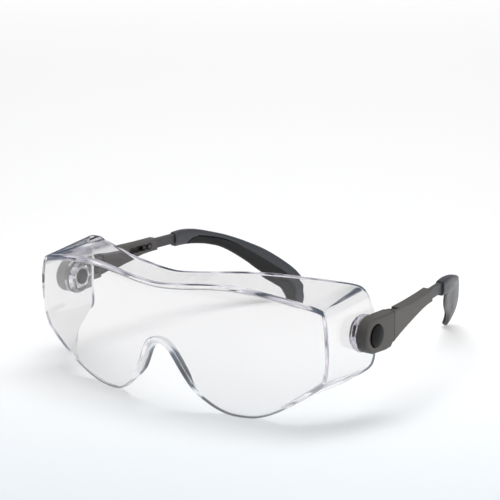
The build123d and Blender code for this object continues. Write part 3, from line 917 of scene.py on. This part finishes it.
    def shell(self) -> Mesh:
        """The whole lens without its bosses, with rounded folds and rims.

        Returns:
            The closed shell.
        """
        bm = self.half_shell()
        mirror_across(bm, merge=0.001)
        bmesh.ops.remove_doubles(bm, verts=bm.verts, dist=0.002)
        bmesh.ops.recalc_face_normals(bm, faces=bm.faces)
        ridge = bm.verts.layers.int["ridge"]
        for kind, radius in ((Ridge.FOLD_INSIDE, self.inner_radius), (Ridge.RIM, self.rim_radius),
                             (Ridge.RIM_INSIDE, self.rim_radius)):
            edges = [e for e in bm.edges if all(v[ridge] == kind for v in e.verts)
                     and len(e.link_faces) == 2 and e.calc_face_angle() > math.radians(30)]
            round_edges(bm, edges, radius, self.rounding_steps, clamp=True)
        LOG.info("lens shell: %d verts, %d open edges", len(bm.verts), sum(e.is_boundary for e in bm.edges))
        return bm

    def prism(self, radii: Pair, x_from: float, x_to: float, sides: int, rounding: float = 0.0) -> Mesh:
        """Prisms, discs or cones on both pivots.

        Args:
            radii: Radius to the corners at the inner and the outer end.
            x_from: Inner end.
            x_to: Outer end.
            sides: Number of sides.
            rounding: Rounding of the end edges.

        Returns:
            Both, as one bmesh.
        """
        bm = bmesh.new()
        bmesh.ops.create_cone(bm, cap_ends=True, segments=sides, radius1=radii[0], radius2=radii[1],
                              depth=x_to - x_from)
        if rounding:
            rims = [e for e in bm.edges if abs(e.verts[0].co.z - e.verts[1].co.z) < 0.01]
            round_edges(bm, rims, rounding, steps=3)
        turn = Matrix.Rotation(math.radians(90), 3, "Y")
        bmesh.ops.rotate(bm, verts=bm.verts, cent=(0, 0, 0), matrix=turn)
        bmesh.ops.translate(bm, verts=bm.verts, vec=((x_from + x_to) / 2, *self.pivot))
        mirror_across(bm, merge=0.0)
        bmesh.ops.recalc_face_normals(bm, faces=bm.faces)
        return bm

    def with_bosses(self, shell: Mesh) -> Mesh:
        """Joins the round bosses to the shell and cuts their pockets and holes.

        Args:
            shell: The shell, which is freed.

        Returns:
            The finished lens.
        """
        (inner_x, wall_x, outer_x), spare = self.boss_ends, self.spare
        outside, foot, face = self.boss_radii
        boss_sides, bore_sides = self.sides
        pocket_x = inner_x + self.pocket_depth
        corner = self.pocket_across_flats / 2 / math.cos(math.radians(30))
        steps = ((Combining.JOIN, (outside, outside), wall_x, outer_x, boss_sides, self.boss_roundings[0]),
                 (Combining.JOIN, (face, foot), inner_x, wall_x + self.boss_overlap, boss_sides,
                  self.boss_roundings[1]),
                 (Combining.CUT, (corner, corner), inner_x - spare, pocket_x, 6),
                 (Combining.CUT, (self.bore_radius,) * 2, pocket_x - spare / 2, outer_x + spare, bore_sides))
        operands = [as_object(shell, "shell")]
        for way, *shape in steps:
            operands.append(as_object(self.prism(*shape), "operand"))
            modifier = operands[0].modifiers.new("combine", "BOOLEAN")
            modifier.operation, modifier.solver, modifier.object = way.value, "EXACT", operands[-1]
        result = bmesh.new()
        result.from_mesh(operands[0].evaluated_get(bpy.context.evaluated_depsgraph_get()).data)
        for mesh in [operand.data for operand in operands]:
            bpy.data.meshes.remove(mesh)
        return result

    def build(self, layout: Layout, finishes: Finishes) -> None:
        """Builds the lens.

        Args:
            layout: Place of the part in the frame.
            finishes: The materials.
        """
        shape = self.with_bosses(self.shell())
        piece = layout.finish(shape, "clear_lens", finishes.clear, "lens")
        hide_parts("lens_shield")


@dataclass
class Ring:
    """One section of the temple end.

    Attributes:
        place: Its number along the end, with fractions.
        middle: Its middle point.
        up: Unit direction to its top edge.
        out: Unit direction away from the head.
        width: Size along up.
        thickness: Size along out.
    """

    place: float
    middle: Vector
    up: Vector
    out: Vector
    width: float
    thickness: float

    def point(self, u: float, w: float) -> Vector:
        """The point at a place along up and one along out."""
        return self.middle + self.up * u + self.out * w


@dataclass
class TempleEnd:
    """Curved blade behind an ear, with its collar, its recessed outer panel and its soft pad.

    Attributes:
        side: The wearer's side.
        tops: Top edge of each section, on the left side.
        bottoms: Bottom edge of each section, on the left side.
        thicknesses: Thickness of each section.
        squareness: Power of the section's curve; two is an ellipse.
        steps: Rings from one section to the next.
        around: Points round a section.
        collar_size: Size of the first ring, whose edge is eased.
        panel_depth: Depth of the outer panel.
        panel_top: Its height as a share of the blade's, at first and less for each section.
        panel_run: Section where it starts, how much later it does at its top, and where it ends.
        panel_slopes: Breadth of its slopes at the top, the start and the end.
        pad_share: Height of the pad as a share of the blade's.
        pad_depth: Depth of the groove that holds the pad.
        pad_slope: Breadth of the groove's upper slope as a share of the blade's height.
        pad_crown: How far the pad stands proud.
        pad_gap: How far it stays clear of the groove's floor.
        pad_fit: Its least height, and the scale and shift that keep it within its groove, as shares.
        pad_ends: First and last section of the pad.
        pad_roundings: Sections over which its ends round off.
        pad_steps: Mesh steps across the pad.
        tip_start: Section from which the tip rounds off.
        tip_size: Least size of the last ring.
    """

    side: Side
    tops: tuple[Triple, ...] = (
        (69.67, 104.19, 40.60), (68.7, 110.10, 40.8), (67.2, 117.40, 39.79), (64.9, 126.09, 37.27),
        (61.1, 134.08, 34.19), (56.1, 144.02, 29.31), (50.8, 153.68, 23.51), (44.5, 164.6, 14.2),
        (40.6, 168.4, 7.2), (38.2, 166.6, 1.6))
    bottoms: tuple[Triple, ...] = (
        (69.67, 104.19, 34.10), (68.93, 110.10, 33.90), (67.36, 116.70, 33.17), (65.0, 124.00, 31.59),
        (60.3, 129.91, 29.31), (54.4, 137.28, 23.39), (49.4, 145.6, 15.71), (44.7, 155.6, 8.6),
        (41.9, 159.8, 3.4), (39.3, 162.0, 0.8))
    thicknesses: tuple[float, ...] = (4.2, 4.1, 3.6, 3.3, 3.2, 3.2, 3.2, 3.1, 3.0, 2.6)
    squareness: float = 3.6
    steps: int = 7
    around: int = 72
    collar_size: float = 0.93
    panel_depth: float = 0.8
    panel_top: Pair = (0.74, 0.05)
    panel_run: Triple = (1.7, 1.1, 7.4)
    panel_slopes: Triple = (0.09, 0.35, 1.0)
    pad_share: float = 0.52
    pad_depth: float = 1.1
    pad_slope: float = 0.035
    pad_crown: float = 0.15
    pad_gap: float = 0.15
    pad_fit: Triple = (0.03, 0.98, 0.012)
    pad_ends: Pair = (1.25, 8.3)
    pad_roundings: Pair = (0.9, 0.8)
    pad_steps: int = 12
    tip_start: float = 8.3
    tip_size: float = 0.2

    @staticmethod
    def along(points: Sequence[tuple], place: float) -> Vector:
        """A point of the smooth curve through the given points.

        Args:
            points: One point for each section.
            place: Number along the end, with fractions.

        Returns:
            The point.
        """
        last = len(points) - 1
        start = min(max(int(place), 0), last - 1)
        t = place - start
        a, b, c, d = (Vector(points[min(max(start + k, 0), last)]) for k in (-1, 0, 1, 2))
        return (b * 2 + (c - a) * t + (a * 2 - b * 5 + c * 4 - d) * t**2 + (b * 3 - a - c * 3 + d) * t**3) / 2

    def rings(self) -> list[Ring]:
        """All sections, from the collar to the tip.

        Returns:
            The sections.
        """
        last = len(self.tops) - 1
        rings = []
        for number in range(last * self.steps + 1):
            place = number / self.steps
            top, bottom = self.along(self.tops, place), self.along(self.bottoms, place)
            ahead, behind = min(place + 0.1, last), max(place - 0.1, 0)
            forward = self.along(self.tops, ahead) + self.along(self.bottoms, ahead)
            forward -= self.along(self.tops, behind) + self.along(self.bottoms, behind)
            up = (top - bottom).normalized()
            out = (forward - up * forward.dot(up)).normalized().cross(up)
            thickness = self.along([(t, 0, 0) for t in self.thicknesses], place).x
            rings.append(Ring(place, (top + bottom) / 2, up, out, (top - bottom).length, thickness))
        return rings

    def pad_height(self, place: float) -> float:
        """Share of the blade's height that the pad covers at a place along the end."""
        (first, last), (rise, fall) = self.pad_ends, self.pad_roundings
        return self.pad_share * math.sqrt(clamped((place - first) / rise) * clamped((last - place) / fall))

    def surface(self, ring: Ring, turn: float) -> Pair:
        """A point of the plain section by its turn from the top edge: its places along up and out."""
        parts = ((math.cos(turn), ring.width), (math.sin(turn), ring.thickness))
        return tuple(math.copysign(abs(c) ** (2 / self.squareness), c) * size / 2 for c, size in parts)

    def blade_point(self, ring: Ring, turn: float) -> Vector:
        """A point of the hard blade, with the outer panel and the pad's groove.

        Args:
            ring: The section.
            turn: Angle round the section, zero at the top edge.

        Returns:
            The point.
        """
        u, w = self.surface(ring, turn)
        share = u / ring.width + 0.5
        flat = abs(w) / (ring.thickness / 2)
        if w > 0:
            edge = self.panel_top[0] - self.panel_top[1] * ring.place
            start, slant, end = self.panel_run
            start += slant * (share / edge) ** 3
            at_top, at_start, at_end = self.panel_slopes
            w -= (self.panel_depth * flat * smooth((edge - share) / at_top)
                  * smooth((ring.place - start) / at_start) * smooth((end - ring.place) / at_end))
        elif self.pad_height(ring.place) > 0:
            w += self.pad_depth * flat * smooth((self.pad_height(ring.place) - share) / self.pad_slope + 0.5)
        tip = max(0.0, (ring.place - self.tip_start) / (len(self.tops) - 1 - self.tip_start))
        size = max(math.sqrt(1 - tip * tip), self.tip_size) * (self.collar_size if ring.place == 0 else 1.0)
        return ring.point(u * size, w * size)

    def pad_loop(self, ring: Ring) -> list[Vector]:
        """The pad's section: its crowned outside and its flat underside.

        Args:
            ring: The section.

        Returns:
            The points of the loop.
        """
        outside, under = [], []
        least, scale, shift = self.pad_fit
        for step in range(self.pad_steps + 1):
            down = step / self.pad_steps
            share = max(self.pad_height(ring.place), least) * (1 - down) * scale + shift
            cosine = 2 * share - 1
            turn = -math.acos(math.copysign(abs(cosine) ** (self.squareness / 2), cosine))
            u, w = self.surface(ring, turn)
            outside.append(ring.point(u, w - self.pad_crown * math.sin(math.pi * down) ** 0.5))
            flat = abs(w) / (ring.thickness / 2)
            under.append(ring.point(u, w + (self.pad_depth - self.pad_gap) * flat))
        return outside + under[::-1]

    def loft(self, loops: Sequence[Points]) -> Mesh:
        """A closed skin over loops of equal length.

        Args:
            loops: The loops, from one end to the other.

        Returns:
            The skin, mirrored for the right side.
        """
        bm = bmesh.new()
        bmesh.ops.create_circle(bm, cap_ends=False, segments=len(loops[0]), radius=1.0)
        rows = [list(bm.verts)]
        edges = list(bm.edges)
        for _ in loops[1:]:
            made = bmesh.ops.extrude_edge_only(bm, edges=edges)["geom"]
            edges = [e for e in made if isinstance(e, bmesh.types.BMEdge)]
            rows.append([v for v in made if isinstance(v, bmesh.types.BMVert)])
        for verts, loop in zip(rows, loops):
            for vert, place in zip(verts, loop):
                vert.co = (place.x * self.side.value, place.y, place.z)
        bmesh.ops.holes_fill(bm, edges=[e for e in bm.edges if e.is_boundary], sides=0)
        bmesh.ops.recalc_face_normals(bm, faces=bm.faces)
        return bm

    def build(self, layout: Layout, finishes: Finishes) -> None:
        """Builds the blade and the pad.

        Args:
            layout: Place of the part in the frame.
            finishes: The materials.
        """
        label, rings = self.side.label, self.rings()
        turns = [math.tau * k / self.around for k in range(self.around)]
        blade = [[self.blade_point(ring, turn) for turn in turns] for ring in rings]
        pad = [self.pad_loop(ring) for ring in rings if self.pad_ends[0] < ring.place < self.pad_ends[1]]
        piece = layout.finish(self.loft(blade), f"{label}_blade", finishes.slate, f"{label}_end",
                              45.0)
        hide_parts(f"{label}_temple_end")
        piece = layout.finish(self.loft(pad), f"{label}_pad", finishes.pad, f"{label}_end", 45.0)
        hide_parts(f"{label}_end_pad")


@dataclass(frozen=True)
class Lamp:
    """A soft rectangular lamp that no gloss and no clear plastic shows.

    Attributes:
        name: Name of the lamp.
        place: Its place in metres.
        aim: The place that it faces.
        size: Its width and height in metres.
        power: Its power in watts.
        spread: Angle of its beam in degrees.
        turn: Angle that it is turned by about its beam, in radians.
    """

    name: str
    place: Triple
    aim: Triple
    size: Pair
    power: float
    spread: float = 180.0
    turn: float = 0.0

    def build(self) -> None:
        """Adds the lamp to the scene."""
        data = bpy.data.lights.new(self.name, "AREA")
        data.shape = "RECTANGLE"
        data.size, data.size_y = self.size
        data.energy = self.power
        data.spread = math.radians(self.spread)
        lamp = bpy.data.objects.new(self.name, data)
        lamp.location = self.place
        facing = (Vector(self.aim) - Vector(self.place)).to_track_quat("-Z", "Y")
        lamp.rotation_euler = (facing @ Quaternion((0, 0, 1), self.turn)).to_euler()
        lamp.visible_glossy = False
        lamp.visible_transmission = False
        bpy.context.scene.collection.objects.link(lamp)


@dataclass(frozen=True)
class Studio:
    """Table, light and camera.

    Attributes:
        layout: Place of the part in the frame.
        azimuth: Angle of the view about Z, in radians.
        elevation: Angle of the view above the table, in radians.
        focal_length: Focal length of the camera.
        eye: Place of the camera in the part's layout.
        table_reach: Distance from the table's middle to its edges, in metres.
        lamps: The lamps.
        skyline: Light of the surround by the turn away from the view, up to one right behind.
        fill: Share of it that lights matt surfaces.
    """

    layout: Layout
    azimuth: float = math.radians(35.01)
    elevation: float = math.radians(15.13)
    focal_length: float = 140.4
    eye: Triple = (452.3, -579.7, 264.7)
    table_reach: float = 6.0
    lamps: tuple[Lamp, ...] = (
        Lamp("overhead", (-0.02, 0.07, 0.85), (0.0, 0.0, 0.0), size=(0.64, 0.28), power=4.7, turn=azimuth),
        Lamp("key", (0.7, -0.5, 0.7), (0.0, 0.0, 0.0), size=(0.4, 0.4), power=0.7),
        Lamp("side", (0.34, 0.02, 0.12), (0.06, 0.02, 0.06), size=(0.3, 0.06), power=0.07, spread=60.0))
    skyline: tuple = (
        (0.0, (0.95, 0.95, 0.95)), (0.31, (0.92, 0.92, 0.93)), (0.33, (0.22, 0.23, 0.27)),
        (0.44, (0.20, 0.21, 0.25)), (0.48, (0.90, 0.90, 0.92)), (0.78, (0.75, 0.75, 0.77)),
        (0.86, (0.32, 0.33, 0.36)), (1.0, (0.26, 0.27, 0.30)))
    fill: float = 0.6

    def table(self) -> None:
        """Adds the wide pale table."""
        bm = bmesh.new()
        bmesh.ops.create_grid(bm, x_segments=1, y_segments=1, size=self.table_reach)
        table = as_object(bm, "table")
        table.data.materials.append(PaleTable(turn=self.azimuth).material())

    def camera(self) -> None:
        """Adds the camera at the photograph's angle."""
        data = bpy.data.cameras.new("camera")
        data.lens = self.focal_length
        data.clip_start = 0.01
        camera = bpy.data.objects.new("camera", data)
        camera.location = (self.eye[0] * MM, self.eye[1] * MM + self.layout.front_y, self.eye[2] * MM)
        camera.rotation_euler = (math.pi / 2 - self.elevation, 0, self.azimuth)
        bpy.context.scene.collection.objects.link(camera)
        bpy.context.scene.camera = camera

    def light(self) -> None:
        """Adds the pale surround and the lamps."""
        world = bpy.data.worlds.new("surround")
        bpy.context.scene.world = world
        world.use_nodes = True
        nodes = NodeBuilder(world.node_tree)
        direction = nodes.add("ShaderNodeTexCoord", output="Generated")
        view = nodes.add("ShaderNodeMapping", inputs={"Vector": direction, "Rotation": (0, 0, -self.azimuth)})
        across, ahead, height = (nodes.axis(view, letter) for letter in "XYZ")
        turn = nodes.add("ShaderNodeMath", {"operation": "ARCTAN2"}, {0: across, 1: ahead})
        turn = nodes.add("ShaderNodeMath", {"operation": "ABSOLUTE"}, {0: turn}) * (1 / math.pi)
        aside = nodes.fade(turn, 0.22, 0.34, Easing.SOFT)
        overhead = nodes.fade(height, 0.66, 0.86, Easing.SOFT)
        surround = nodes.blend_colours(aside, opaque((0.40, 0.40, 0.42)), nodes.ramp(self.skyline, turn))
        surround = nodes.blend_colours(overhead, surround, opaque((0.9, 0.9, 0.9)))
        strength = 1.0 - nodes.ray("Is Diffuse Ray") * (1.0 - self.fill)
        back = nodes.add("ShaderNodeBackground", inputs={"Color": surround, "Strength": strength})
        nodes.add("ShaderNodeOutputWorld", inputs={"Surface": back})
        for lamp in self.lamps:
            lamp.build()


def main() -> None:
    """Builds the scene."""
    logging.basicConfig(level=logging.INFO, format="%(name)s %(message)s")
    bpy.context.scene.view_settings.view_transform = "Standard"
    layout = Layout(front_y=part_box("lens_shield")[0][1])
    finishes = Finishes()
    finishes.dress_nodes()
    LensShield().build(layout, finishes)
    for side in Side:
        TempleEnd(side).build(layout, finishes)
    studio = Studio(layout)
    studio.table()
    studio.light()
    studio.camera()


if __name__ == "__main__":
    main()
